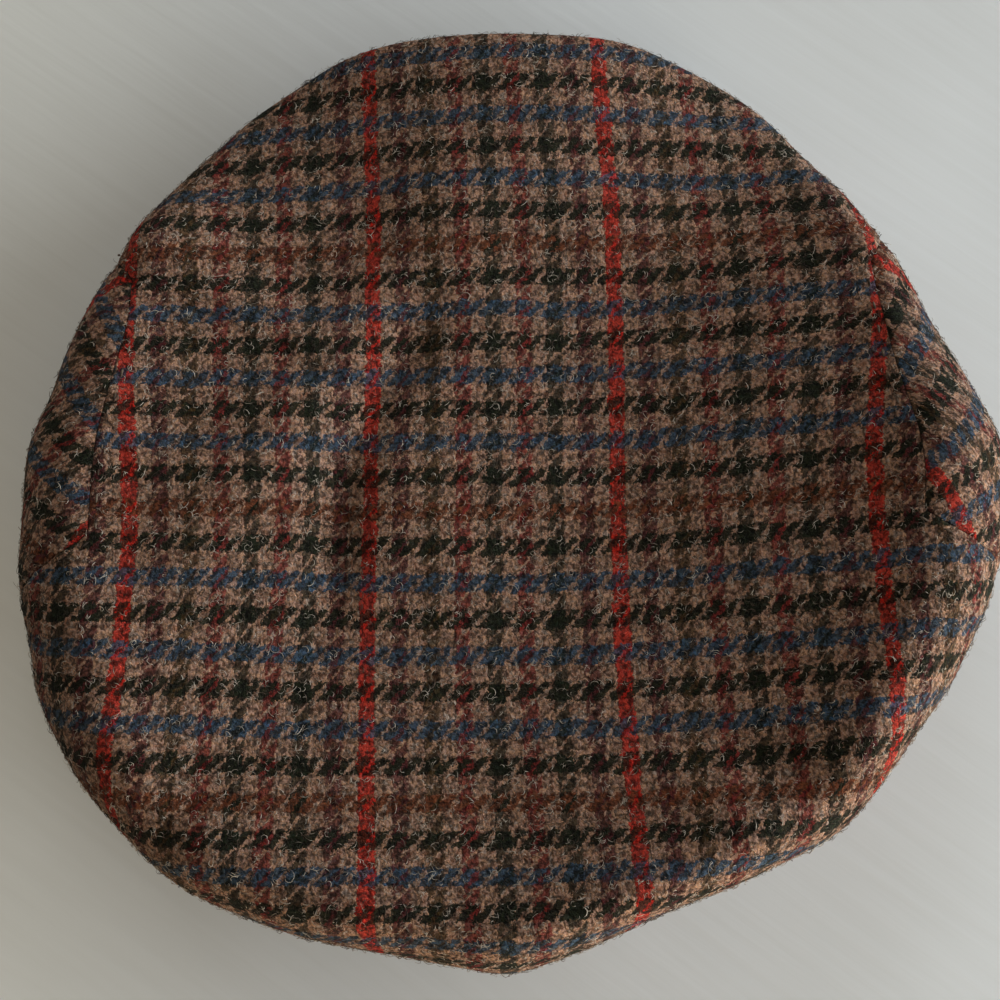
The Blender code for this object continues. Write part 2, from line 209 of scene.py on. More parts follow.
@dataclass
class CrownForm:
    """The crown's shape: the same sections, seams and dents as the solids, and finer folds."""

    half_width: float = 0.130
    crown_height: float = 0.060
    floor_height: float = 0.037
    floor_tilt: float = -0.04
    cloth: float = 0.002
    hem: float = 0.003
    seam_gap: float = 0.00008
    seat_gap: float = 0.0003
    opening_half_width: float = 0.092
    opening_half_length: float = 0.097
    opening_setback: float = 0.011
    peak_thickness: float = 0.0035
    peak_arch: float = 0.014
    peak_spread: float = 52.0
    peak_full: float = 36.0
    peak_taper: float = 0.97
    peak_inset: float = 0.0025
    nose_tuck: float = 0.0075
    tuck: tuple = (38.0, 50.0)
    seat: tuple = (56.0, 66.0)
    side_end: float = 46.0
    hem_places: tuple = (2.6, 2.9)
    dent_fade: tuple = (1.0, 1.9)
    shoulder_handle: float = 0.55
    bulge_handle: float = 0.60
    side_handle: float = 0.55
    hem_handle: float = 0.35
    edge: float = 3.0
    bulge: float = 2.0
    outline_steps: int = 721
    place_step: float = 0.004
    turn_nudge: float = 0.25
    seam_lowest: float = 2.9
    edge_roll: float = 0.00035
    seam_valley: float = 0.00045
    valley_spread: float = 0.0032
    pucker: float = 0.00022
    pucker_period: float = 0.0075
    ripple: float = 0.00032
    ripple_period: float = 0.030
    ripple_waves: tuple = (14, 3)
    ripple_fade: tuple = (2.4, 2.9)
    pucker_waves: tuple = (10, 5)
    pucker_reach: float = 3.0
    nub: float = 0.0022
    nub_turn: float = 270.0
    nub_place: float = 2.05
    nub_size: tuple = (4.5, 0.35)

    sections: tuple = tuple(Section(SECTION_STEP * n, *row) for n, row in enumerate((
        (1.022, 0.785, 0.80, 0.56, 4.0),
        (0.954, 0.825, 0.74, 0.55, 4.0),
        (0.931, 0.89, 0.62, 0.55, 3.5),
        (0.947, 0.93, 0.38, 0.52, 2.5),
        (0.979, 0.95, 0.19, 0.50, 2.4),
        (0.977, 0.955, 0.16, 0.50, 2.4),
        (0.962, 0.955, 0.155, 0.50, 2.4),
        (0.977, 0.955, 0.16, 0.50, 2.4),
        (0.978, 0.95, 0.19, 0.50, 2.4),
        (0.954, 0.93, 0.36, 0.52, 2.4),
        (0.951, 0.88, 0.58, 0.54, 2.2),
        (0.951, 0.84, 0.72, 0.55, 2.0),
        (0.991, 0.81, 0.78, 0.56, 2.0),
        (1.020, 0.81, 0.82, 0.58, 2.0),
        (1.053, 0.83, 0.86, 0.60, 2.2),
        (1.060, 0.85, 0.90, 0.60, 2.5),
        (1.032, 0.87, 0.94, 0.62, 2.8),
        (0.986, 0.88, 0.98, 0.63, 3.2),
        (0.980, 0.88, 1.00, 0.64, 3.4),
        (0.942, 0.88, 0.98, 0.64, 3.4),
        (0.945, 0.88, 0.95, 0.63, 3.4),
        (0.976, 0.87, 0.91, 0.62, 3.6),
        (0.981, 0.83, 0.87, 0.60, 3.8),
        (1.012, 0.79, 0.83, 0.58, 4.0),
    )))
    seams: tuple = (
        Seam(7, 1.03), Seam(20, 1.06), Seam(29, 1.15), Seam(32.5, 1.95), Seam(37, 2.40),
        Seam(44, 2.85), Seam(90, 3.00), Seam(136, 2.85), Seam(143, 2.40), Seam(151, 1.95),
        Seam(154, 1.20), Seam(161, 1.06), Seam(174, 1.05), Seam(190, 1.05), Seam(198, 2.05),
        Seam(210, 2.20), Seam(240, 2.28), Seam(270, 2.22), Seam(300, 2.28), Seam(330, 2.20),
        Seam(345, 2.05), Seam(353, 1.04),
    )
    dents: tuple = (
        Dent("valley_front", -0.24, 0.18, 0.21, 0.060, 0.060, 65),
        Dent("valley_back", -0.345, -0.14, 0.21, 0.060, 0.074, 86),
        Dent("fold_left", -0.50, -0.02, 0.38, 0.12, -0.055, 57),
        Dent("fold_front", -0.16, 0.42, 0.22, 0.10, -0.020, 70),
        Dent("dip_middle", 0.19, -0.06, 0.50, 0.21, 0.066, 88),
        Dent("crease_back_left", -0.66, -0.72, 0.12, 0.06, 0.050, 50),
        Dent("crease_back_right", 0.57, -0.66, 0.22, 0.07, 0.045, 150),
    )

    def from_front(self, angle: Grid) -> Grid:
        """Degrees between an angle and the front of the cap."""
        return np.abs(np.mod(angle - 90 + 180, 360) - 180)

    def reach(self, angle: Grid) -> Grid:
        """Plan reach of the widest bulge."""
        return around(self.sections, "reach", angle) * self.half_width

    def opening_radius(self, angle: Grid) -> Grid:
        """Distance from the cap's middle to the head opening, an ellipse set back.

        It is the root of a r^2 + 2 b r + c = 0, the ellipse's equation along the angle.

        Args:
            angle: degrees.

        Returns:
            The distance at each angle.
        """
        east, north = compass(angle)
        a = (east / self.opening_half_width) ** 2 + (north / self.opening_half_length) ** 2
        b = north * self.opening_setback / self.opening_half_length**2
        c = (self.opening_setback / self.opening_half_length) ** 2 - 1
        return (np.sqrt(b * b - a * c) - b) / a

    def peak_underside(self, angle: Grid) -> Grid:
        """Height of the peak's underside: arch times the squared cosine of the turn."""
        turn = np.clip(self.from_front(angle) / self.peak_spread, 0, 1)
        return self.peak_arch * np.cos(turn * pi / 2) ** 2

    def at_opening(self, angle: Grid) -> Grid:
        """1 where the crown's edge is the head opening's hem, and 0 on the peak."""
        return 1 - fade(self.from_front(angle), *self.seat)

    def edge_height(self, angle: Grid) -> Grid:
        """Height of the crown's edge: on the peak at the front, on the table elsewhere."""
        seat = self.peak_underside(angle) + self.peak_thickness + self.seat_gap
        return seat * (1 - self.at_opening(angle))

    def wall(self, angle: Grid, place: Grid) -> Grid:
        """Wall of the cloth, thicker in the turned-up hem."""
        hem = 1 - fade(place, *self.hem_places)
        return self.cloth + (self.hem - self.cloth) * hem * self.at_opening(angle)

    def smooth_points(self, angle: Grid, place: Grid) -> Grid:
        """Points of the outer face without its fine relief.

        The floor's height is floor_height + tilt r + bank u^steep, where u is the radius over
        that of the shoulder. The rim and the side are cubic Bezier curves from the shoulder to
        the widest bulge and from there to the edge.

        Args:
            angle: degrees.
            place: places along the cloth, from 0 to 3.

        Returns:
            Points, with their coordinates along the last axis.
        """
        angle, place = np.broadcast_arrays(np.asarray(angle, float), np.asarray(place, float))
        reach = self.reach(angle)
        shoulder = around(self.sections, "rim", angle) * reach
        foot = self.edge_height(angle)
        rise = around(self.sections, "rise", angle) * self.crown_height
        rim = foot + rise
        widest = foot + around(self.sections, "bulge", angle) * rise
        steep = around(self.sections, "steep", angle)
        tuck = fade(self.from_front(angle), *self.tuck)
        hole = self.opening_radius(angle)
        edge = hole + tuck * (reach - self.nose_tuck - hole)

        tilt = self.floor_tilt * np.sin(np.radians(angle))
        bank = rim - self.floor_height - tilt * shoulder
        u = np.clip(place, 0, 1)
        radius = shoulder * u
        height = self.floor_height + tilt * radius + bank * u**steep

        u = np.clip(place - 1, 0, 1)
        slope = tilt + steep * bank / shoulder
        run = self.shoulder_handle * (reach - shoulder)
        over_r = bezier(shoulder, shoulder + run, reach, reach, u)
        handle = widest + self.bulge_handle * (rim - widest)
        over_z = bezier(rim, rim + run * slope, handle, widest, u)
        radius = np.where(place > 1, over_r, radius)
        height = np.where(place > 1, over_z, height)

        u = np.clip(place - 2, 0, 1)
        drop = widest - foot
        level = self.side_handle * tuck * (reach - edge)
        upright = self.hem_handle * (1 - tuck) * drop
        side_r = bezier(reach, reach, edge + level, edge, u)
        side_z = bezier(widest, widest - self.side_handle * drop, foot + upright, foot, u)
        radius = np.where(place > 2, side_r, radius)
        height = np.where(place > 2, side_z, height)

        east, north = compass(angle)
        x, y = radius * east, radius * north
        dent = bells(self.dents, self.half_width, x, y, "depth") * self.crown_height
        height = height - dent * fade(place, *self.dent_fade)
        return np.stack([x, y, height], axis=-1)

    def normals(self, angle: Grid, place: Grid) -> Grid:
        """Unit normals of the smooth outer face, from small steps along and across the cloth.

        Args:
            angle: degrees.
            place: places along the cloth.

        Returns:
            One unit vector for each point, which looks outwards.
        """
        angle, place = np.broadcast_arrays(np.asarray(angle, float), np.asarray(place, float))
        low = np.maximum(place - self.place_step, 0)
        high = np.minimum(place + self.place_step, self.edge)
        middle = np.maximum(place, self.place_step)
        nudge = self.turn_nudge
        along = self.smooth_points(angle, high) - self.smooth_points(angle, low)
        across = self.smooth_points(angle + nudge, middle)
        across = across - self.smooth_points(angle - nudge, middle)
        normal = np.cross(along, across)
        normal /= np.linalg.norm(normal, axis=-1, keepdims=True)
        normal[place <= 0] = (0, 0, 1)
        return normal

    def per_place(self, angle: Grid, place: Grid) -> Grid:
        """Length of cloth for each unit of place.

        Args:
            angle: degrees.
            place: places along the cloth.

        Returns:
            Metres for each unit.
        """
        step = self.place_step
        length = self.smooth_points(angle, place + step) - self.smooth_points(angle, place - step)
        return np.linalg.norm(length, axis=-1) / (2 * step)

    def seam_slant(self, angle: Grid) -> Grid:
        """How steeply the seam crosses the cloth: its rise over its run along the surface.

        Args:
            angle: degrees.

        Returns:
            The slope at each angle.
        """
        nudge = self.turn_nudge
        middle = self.seam_middle(angle)
        rise = self.seam_middle(angle + nudge) - self.seam_middle(angle - nudge)
        across = self.smooth_points(angle + nudge, middle)
        across = across - self.smooth_points(angle - nudge, middle)
        return rise * self.per_place(angle, middle) / np.linalg.norm(across, axis=-1)

    def seam_middle(self, angle: Grid) -> Grid:
        """Place of the seam between the top and the side panels."""
        return np.minimum(around(self.seams, "place", angle, limited=True), self.seam_lowest)

    def seam_place(self, angle: Grid, side: int) -> Grid:
        """Place of a panel's edge, half the gap away from the seam's middle.

        Args:
            angle: degrees.
            side: -1 for the top's edge and 1 for the side panel's.

        Returns:
            The place at each angle.
        """
        middle = self.seam_middle(angle)
        widening = np.sqrt(1 + self.seam_slant(angle) ** 2)
        return middle + side * self.seam_gap / 2 * widening / self.per_place(angle, middle)

    def relief(self, points: Grid, angle: Grid, place: Grid, seam: Grid) -> Grid:
        """Fine relief of the cloth, outwards along its normal.

        The ripple is a sum of sines. A valley of depth exp(-distance / spread) follows the seam,
        with puckers along it, and within the roll's radius the edge turns in as a quarter circle.
        A small bell stands out at the centre back, where three panels meet.

        Args:
            points: points of the smooth face.
            angle: their angles.
            place: their places.
            seam: each point's distance to its panel's seam.

        Returns:
            Heights in metres, negative inwards.
        """
        soft = self.ripple * waves(points, self.ripple_period, *self.ripple_waves)
        soft *= fade(place, *self.ripple_fade)
        valley = np.exp(-seam / self.valley_spread)
        turn = waves(points, self.pucker_period, *self.pucker_waves)
        wide = np.exp(-seam / (self.pucker_reach * self.valley_spread))
        roll = 1 - np.clip(seam / self.edge_roll, 0, 1)
        roll = self.edge_roll * (1 - np.sqrt(np.clip(1 - roll**2, 0, 1)))
        round_off = (angle - self.nub_turn) / self.nub_size[0]
        along_off = (place - self.nub_place) / self.nub_size[1]
        nub = np.exp(-(round_off**2) - along_off**2)
        out = soft - self.seam_valley * valley + self.pucker * turn * wide - roll
        return out + self.nub * nub

    def inner_points(self, smooth: Grid, angle: Grid, place: Grid) -> Grid:
        """Points of the inner face: a wall inside the outer one, level with it at the hem.

        Args:
            smooth: points of the smooth outer face.
            angle: their angles.
            place: their places.

        Returns:
            One inner point for each outer one.
        """
        inner = smooth - self.normals(angle, place) * self.wall(angle, place)[..., None]
        level = self.at_opening(angle) * (place >= self.edge)
        inner[..., 2] += level * (smooth[..., 2] - inner[..., 2])
        return inner

    def middle(self) -> Grid:
        """Middle of the outline in plan, which is where the origin lies."""
        points = self.smooth_points(np.linspace(0, 360, self.outline_steps), self.bulge)
        return (points.max(axis=0) + points.min(axis=0)) / 2 * (1, 1, 0)


def lengths_along(points: Grid) -> Grid:
    """Distance along each column of points, from its first point."""
    steps = np.linalg.norm(np.diff(points, axis=1), axis=-1)
    return np.concatenate([np.zeros((len(points), 1)), np.cumsum(steps, axis=1)], axis=1)


def make_mesh(name: str, points: Grid, faces: list, uv: Grid,
              material: bpy.types.Material) -> bpy.types.Object:
    """Makes a smooth mesh object at the origin from whole arrays.

    Args:
        name: the piece's name.
        points: vertices, one row each.
        faces: arrays of faces, each array with one number of corners.
        uv: one pair for each vertex, in metres of cloth.
        material: finish of every face.

    Returns:
        The new object, linked to the scene.
    """
    mesh = bpy.data.meshes.new(name)
    corners = np.concatenate([block.ravel() for block in faces])
    sizes = np.concatenate([np.full(len(block), block.shape[1]) for block in faces])
    starts = np.concatenate([[0], np.cumsum(sizes)[:-1]])
    mesh.vertices.add(len(points))
    mesh.vertices.foreach_set("co", points.astype(np.float32).ravel())
    mesh.loops.add(len(corners))
    mesh.loops.foreach_set("vertex_index", corners.astype(np.int32))
    mesh.polygons.add(len(sizes))
    mesh.polygons.foreach_set("loop_start", starts.astype(np.int32))
    mesh.update(calc_edges=True)
    mesh.uv_layers.new(name="cloth")
    mesh.uv_layers["cloth"].data.foreach_set("uv", uv[corners].astype(np.float32).ravel())
    mesh.materials.append(material)
    mesh.shade_smooth()
    mesh.validate()
    piece = bpy.data.objects.new(name, mesh)
    bpy.context.scene.collection.objects.link(piece)
    return piece


def grid_quads(columns: int, rings: int, first: int, closed: bool) -> Grid:
    """Quads of a grid of points, columns by rings, with faces that look outwards.

    Args:
        columns: number of columns.
        rings: points in each column.
        first: index of the grid's first point.
        closed: joins the last column to the first.

    Returns:
        One row of four point indices for each quad.
    """
    i = np.arange(columns if closed else columns - 1)[:, None]
    k = np.arange(rings - 1)[None, :]
    j = (i + 1) % columns
    quads = [i * rings + k, i * rings + k + 1, j * rings + k + 1, j * rings + k]
    return np.stack(quads, axis=-1).reshape(-1, 4) + first


def strip_quads(one: Grid, other: Grid, closed: bool) -> Grid:
    """Quads between two rows of point indices, from the first row down to the other.

    Args:
        one: the upper row.
        other: the lower row, as long.
        closed: joins the rows' ends.

    Returns:
        One row of four point indices for each quad.
    """
    if closed:
        one, other = np.append(one, one[0]), np.append(other, other[0])
    return np.stack([one[:-1], other[:-1], other[1:], one[1:]], axis=-1)


def walled_quads(columns: int, rings: int) -> list:
    """Quads of a wall: two equal open grids, the outer one's points first, and their border.

    Args:
        columns: columns of each grid.
        rings: points in each column.

    Returns:
        The face arrays, with the outer grid's first.
    """
    below, last = columns * rings, (columns - 1) * rings
    ring, column = np.arange(rings), np.arange(columns) * rings
    return [
        grid_quads(columns, rings, 0, False),
        grid_quads(columns, rings, below, False)[:, ::-1],
        strip_quads(column + rings - 1, column + below + rings - 1, False),
        strip_quads(column + below, column, False),
        strip_quads(ring, ring + below, False),
        strip_quads(ring + last + below, ring + last, False),
    ]


def scatter(points: Grid, quads: Grid, count: int, draw: np.random.Generator) -> tuple:
    """Random places on a surface, evenly by area.

    Args:
        points: the surface's vertices.
        quads: its quads.
        count: how many places.
        draw: source of random numbers.

    Returns:
        The places and the unit normals there.
    """
    a, b, c, d = (points[quads[:, n]] for n in range(4))
    normal = np.cross(c - a, d - b)
    area = np.linalg.norm(normal, axis=1)
    chosen = draw.choice(len(quads), size=count, p=area / area.sum())
    u, v = draw.random((2, count, 1))
    low = a[chosen] * (1 - u) + b[chosen] * u
    high = d[chosen] * (1 - u) + c[chosen] * u
    normal = normal[chosen] / np.maximum(area[chosen], LEAST_AREA)[:, None]
    return low * (1 - v) + high * v, normal


def tubes(paths: Grid, radii: Grid, across: Grid, sides: int) -> tuple:
    """Closed tubes round many paths: centre + radius (cos a e1 + sin a e2) at each step.

    Args:
        paths: points, tubes by steps by three.
        radii: radius at each step of each tube.
        across: a direction for each tube that its path doesn't follow.
        sides: sides of each tube.

    Returns:
        The vertices and the list of face arrays.
    """
    count, steps = paths.shape[:2]
    along = np.gradient(paths, axis=1)
    along /= np.linalg.norm(along, axis=-1, keepdims=True)
    first = np.cross(along, across[:, None, :])
    first /= np.linalg.norm(first, axis=-1, keepdims=True)
    second = np.cross(along, first)
    turn = np.arange(sides) * 2 * pi / sides
    ring = first[:, :, None, :] * np.cos(turn)[:, None] + second[:, :, None, :] * np.sin(turn)[:, None]
    points = paths[:, :, None, :] + ring * radii[:, :, None, None]
    n = (np.arange(count) * steps * sides)[:, None, None]
    s = (np.arange(steps - 1) * sides)[None, :, None]
    a = np.arange(sides)[None, None, :]
    b = (a + 1) % sides
    walls = np.stack([n + s + a, n + s + b, n + s + sides + b, n + s + sides + a], axis=-1)
    start = n[:, :, 0] + np.arange(sides)[::-1]
    end = n[:, :, 0] + (steps - 1) * sides + np.arange(sides)
    return points.reshape(-1, 3), [walls.reshape(-1, 4), start, end]


class Nodes:
    """Adds shader nodes to a material and links them."""

    def __init__(self, name: str) -> None:
        """Starts a material with its Principled shader.

        Args:
            name: the material's name.
        """
        self.material = bpy.data.materials.new(name)
        self.material.use_nodes = True
        self.tree = self.material.node_tree
        self.shader = self.tree.nodes["Principled BSDF"]

    def add(self, kind: str, inputs: dict, **settings: object) -> bpy.types.Node:
        """Adds a node.

        Args:
            kind: the node's type without its ShaderNode prefix.
            inputs: value or socket for each input, by its name or number.
            settings: the node's own settings.

        Returns:
            The node.
        """
        node = self.tree.nodes.new("ShaderNode" + kind)
        for key, value in settings.items():
            setattr(node, key, value)
        for key, value in inputs.items():
            self.put(node.inputs[key], value)
        return node

    def put(self, socket: bpy.types.NodeSocket, value: object) -> None:
        """Links a socket to another one, or sets its number, vector or colour.

        Args:
            socket: the input.
            value: an output, or the value to set.
        """
        if isinstance(value, bpy.types.NodeSocket):
            self.tree.links.new(value, socket)
        else:
            socket.default_value = value

    def math(self, operation: str, *values: object) -> bpy.types.NodeSocket:
        """Output of a Math node."""
        return self.add("Math", dict(enumerate(values)), operation=operation).outputs[0]

    def vector(self, operation: str, *values: object) -> bpy.types.NodeSocket:
        """Output of a Vector Math node."""
        return self.add("VectorMath", dict(enumerate(values)), operation=operation).outputs[0]

    def noise(self, where: object, scale: float, detail: float = 2.0,
              twist: float = 0.0) -> bpy.types.Node:
        """A three-dimensional Noise Texture node."""
        inputs = {"Vector": where, "Scale": scale, "Detail": detail, "Distortion": twist}
        return self.add("TexNoise", inputs)

    def spread(self, value: object, low: float, high: float, first: float,
               last: float) -> bpy.types.NodeSocket:
        """Output of a Map Range node that eases from first at low to last at high."""
        inputs = {"Value": value, "From Min": low, "From Max": high, "To Min": first, "To Max": last}
        return self.add("MapRange", inputs, interpolation_type="SMOOTHSTEP").outputs[0]

    def times(self, color: object, share: object) -> bpy.types.NodeSocket:
        """Output of a vector or colour scaled by a number."""
        return self.vector("SCALE", color, (0, 0, 0), (0, 0, 0), share)

    def mottled(self, where: object, row: Mottle) -> tuple:
        """A noise and its eased share, as a row says, the noise first."""
        noise = self.noise(where, row.scale, row.detail, row.twist).outputs["Fac"]
        return noise, self.spread(noise, row.low, row.high, row.first, row.last)

    def dress(self, color: object, **numbers: float) -> None:
        """Gives the shader its colour and its numbers.

        Args:
            color: socket of the base colour.
            numbers: value of each further input, by its name with _ for a space.
        """
        self.put(self.shader.inputs["Base Color"], color)
        for name, value in numbers.items():
            self.put(self.shader.inputs[name.replace("_", " ")], value)

    def bump(self, height: object, strength: float, distance: float) -> None:
        """Raises the shader's surface by a height."""
        node = self.add("Bump", {"Height": height, "Strength": strength, "Distance": distance})
        self.put(self.shader.inputs["Normal"], node.outputs[0])

    def blend(self, share: object, first: object, last: object,
              how: str = "MIX") -> bpy.types.NodeSocket:
        """Output of a colour mix.

        Args:
            share: how much of the last colour.
            first: colour at 0.
            last: colour at 1.
            how: the way of mixing.

        Returns:
            The mixed colour's socket.
        """
        node = self.add("Mix", {}, data_type="RGBA", blend_type=how)
        for number, value in ((0, share), (6, first), (7, last)):
            self.put(node.inputs[number], value)
        return node.outputs[2]

    def ramp(self, share: object, stops: list, how: str = "LINEAR") -> bpy.types.NodeSocket:
        """Output of a colour ramp.

        Args:
            share: place on the ramp.
            stops: pairs of a place and a colour.
            how: the way of mixing between stops.

        Returns:
            The colour's socket.
        """
        node = self.add("ValToRGB", {"Fac": share})
        band = node.color_ramp
        band.interpolation = how
        while len(band.elements) < len(stops):
            band.elements.new(1.0)
        for element, (place, color) in zip(band.elements, stops):
            element.position = place
            element.color = (*color, 1)
        return node.outputs[0]


@dataclass(frozen=True)
class Tweed:
    """Finish of the cloth: a two-by-two twill of coloured and light groups of four threads."""

    name: str
    shade: float = 0.93
    warp_pitch: float = 0.001025
    weft_pitch: float = 0.001125
    warp_start: float = -0.03865
    weft_start: float = 0.04455
    group: int = 4
    twill_repeat: float = 4.0
    frays: tuple = (
        Fray(1.9, 1.0, 1.5),
        Fray(0.80, 2.0, 1.45),
        Fray(0.30, 1.0, 1.45),
        Fray(0.09, 1.0, 1.3),
    )
    dark_over: float = 1.45
    pale_over: float = 2.95
    looseness: float = 0.6
    shift: float = 3.6
    top_share: tuple = (0.92, 0.04)
    red_hold: tuple = (0.73, 0.15)
    pale_loss: float = 0.13
    blue_loss: float = 0.18
    tints: tuple = (
        (0.36, (0.76, 0.54, 0.42)),
        (0.46, (1.04, 0.97, 0.97)),
        (0.54, (1.16, 0.92, 0.68)),
        (0.65, (0.98, 1.08, 1.16)),
    )
    tint_scale: float = 0.55
    # The clump noise both raises the nap and scales the colour: random tone, and painted shade where
    # the nap is low
    clump: Mottle = Mottle(0.90, 4.0, 0.8, 0.34, 0.66, 0.32, 2.0)
    fleck: Mottle = Mottle(2.1, 2.0, 0.5, 0.58, 0.72, 0.0, 0.55)
    fleck_gain: float = 1.8
    fleck_color: tuple = (0.018, 0.016, 0.013)
    curl_scale: float = 0.75
    curl_twist: float = 2.2
    curl_width: float = 0.030
    curl_patch: Mottle = Mottle(0.33, 1.0, 0.0, 0.38, 0.58, 0.08, 0.95)
    curl_gain: float = 2.4
    curl_color: tuple = (0.050, 0.047, 0.040)
    curl_height: float = 0.5
    # Painted shade in the grooves between yarns: the colour eases over this width of the ridge down to
    # the share below
    groove_width: float = 0.75
    groove_painted_shade: float = 0.78
    yarn_height: float = 0.35
    sheen: float = 0.03
    sheen_roughness: float = 0.6
    roughness: float = 0.95
    specular: float = 0.06
    bump_height: float = 0.0007
    bump_strength: float = 0.9
    warp: tuple = (
        Yarn.RED, Yarn.TAN, Yarn.PLUM, Yarn.TAN, Yarn.OLIVE, Yarn.TAN, Yarn.MAROON, Yarn.TAN,
        Yarn.GREEN, Yarn.TAN, Yarn.MAROON, Yarn.TAN, Yarn.GREEN, Yarn.TAN, Yarn.PLUM, Yarn.TAN,
    )
    weft: tuple = (
        Yarn.BLUE, Yarn.TAN, Yarn.GREEN, Yarn.TAN, Yarn.BLUE, Yarn.TAN, Yarn.GREEN, Yarn.TAN,
        Yarn.BLUE, Yarn.TAN, Yarn.GREEN, Yarn.TAN, Yarn.RUSSET, Yarn.TAN, Yarn.GREEN, Yarn.TAN,
    )

    def threads(self, nodes: Nodes) -> tuple:
        """Places in the cloth counted in threads, straight and with frayed edges.

        The count is (u - start) / pitch across and (start - v) / pitch along. The frayed one
        adds fine noises and a slow drift.

        Args:
            nodes: the material's nodes.

        Returns:
            The two vectors' sockets, the straight one first.
        """
        flat = nodes.add("UVMap", {}, uv_map="cloth").outputs[0]
        scale = (1 / self.warp_pitch, -1 / self.weft_pitch, 1)
        start = (-self.warp_start / self.warp_pitch, self.weft_start / self.weft_pitch, 0)
        straight = nodes.vector("MULTIPLY_ADD", flat, scale, start)
        frayed = straight
        for row in self.frays:
            wander = nodes.noise(straight, row.scale, row.detail).outputs["Color"]
            wander = nodes.vector("SUBTRACT", wander, (0.5, 0.5, 0.5))
            frayed = nodes.vector("MULTIPLY_ADD", wander, (row.amount,) * 3, frayed)
        return straight, frayed

    def dyed(self, nodes: Nodes, number: object, yarns: tuple,
             only: Yarn | None = None) -> bpy.types.NodeSocket:
        """Colour of the yarn with a number, from a stepped ramp.

        Args:
            nodes: the material's nodes.
            number: the thread's number.
            yarns: the repeat, one yarn for each group of threads.
            only: where given, the result is 1 on this yarn and 0 on the others.

        Returns:
            The colour's socket.
        """
        count = len(yarns) * self.group
        share = nodes.math("FRACT", nodes.math("DIVIDE", nodes.math("ADD", number, 0.5), count))
        colors = [yarn.value if only is None else (float(yarn is only),) * 3 for yarn in yarns]
        stops = [(n / len(yarns), color) for n, color in enumerate(colors)]
        return nodes.ramp(share, stops, "CONSTANT")

    def heather(self, nodes: Nodes, color: object, straight: object) -> tuple:
        """Mottles the yarn by random tone that follows the nap's height, a painted shade where it
        sinks, and lays curled pale fibres over it.

        A fibre lies where a twisted noise crosses its middle value, which draws thin curved
        lines.

        Args:
            nodes: the material's nodes.
            color: the yarn's colour.
            straight: place in threads.

        Returns:
            The sockets of the colour and of the nap's height.
        """
        tint = nodes.noise(straight, self.tint_scale, 3.0).outputs["Fac"]
        color = nodes.blend(1.0, color, nodes.ramp(tint, self.tints), "MULTIPLY")
        # Random tone and painted shade: the nap's own height noise darkens the colour where the nap
        # sinks and lightens its tufts
        clump, light = nodes.mottled(straight, self.clump)
        color = nodes.times(color, light)
        _, fleck = nodes.mottled(straight, self.fleck)
        brighter = nodes.vector("MULTIPLY_ADD", color, (self.fleck_gain,) * 3, self.fleck_color)
        color = nodes.blend(fleck, color, brighter)
        curl = nodes.noise(straight, self.curl_scale, 2.0, self.curl_twist).outputs["Fac"]
        line = nodes.math("ABSOLUTE", nodes.math("SUBTRACT", curl, 0.5))
        line = nodes.spread(line, 0.0, self.curl_width, 1.0, 0.0)
        line = nodes.math("MULTIPLY", line, nodes.mottled(straight, self.curl_patch)[1])
        paler = nodes.vector("MULTIPLY_ADD", color, (self.curl_gain,) * 3, self.curl_color)
        nap = nodes.math("ADD", clump, nodes.math("MULTIPLY", line, self.curl_height))
        return nodes.blend(line, color, paler), nap

    def material(self) -> bpy.types.Material:
        """Builds the finish.

        The warp is on top where the sum of the two counts, modulo the repeat, is under a limit,
        which is higher over light weft than over dark weft and has some noise: the milled
        cloth's slanted strokes. The red threads nearly always are.

        Returns:
            The material.
        """
        nodes = Nodes(self.name)
        straight, frayed = self.threads(nodes)
        parts = nodes.add("SeparateXYZ", {"Vector": frayed})
        warp_number = nodes.math("FLOOR", parts.outputs[0])
        weft_number = nodes.math("FLOOR", parts.outputs[1])
        slant = nodes.math("ADD", parts.outputs[0], parts.outputs[1])
        twill = nodes.math("FLOORED_MODULO", slant, self.twill_repeat)
        red = self.dyed(nodes, warp_number, self.warp, Yarn.RED)
        pale = self.dyed(nodes, weft_number, self.weft, Yarn.TAN)
        blue = self.dyed(nodes, weft_number, self.weft, Yarn.BLUE)
        loose = nodes.noise(straight, self.looseness, 1.0).outputs["Fac"]
        limit = nodes.math("MULTIPLY_ADD", loose, self.shift, self.dark_over - self.shift / 2)
        limit = nodes.math("MULTIPLY_ADD", pale, self.pale_over - self.dark_over, limit)
        on_top = nodes.math("LESS_THAN", twill, limit)
        hold = nodes.math("MULTIPLY", red, nodes.math("MULTIPLY_ADD", pale, *self.red_hold))
        share = nodes.math("MULTIPLY_ADD", on_top, *self.top_share)
        share = nodes.math("MULTIPLY", share, nodes.math("MULTIPLY_ADD", pale, -self.pale_loss, 1.0))
        share = nodes.math("MAXIMUM", share, hold)
        share = nodes.math("MULTIPLY", share, nodes.math("MULTIPLY_ADD", blue, -self.blue_loss, 1.0))
        warp = self.dyed(nodes, warp_number, self.warp)
        weft = self.dyed(nodes, weft_number, self.weft)
        color, nap = self.heather(nodes, nodes.blend(share, weft, warp), straight)
        ridge = nodes.vector("ABSOLUTE", nodes.vector("SINE", nodes.times(frayed, pi)))
        ridges = nodes.add("SeparateXYZ", {"Vector": ridge})
        across = nodes.math("MULTIPLY", ridges.outputs[0], on_top)
        along = nodes.math("MULTIPLY", ridges.outputs[1], nodes.math("SUBTRACT", 1.0, on_top))
        yarn = nodes.math("ADD", across, along)
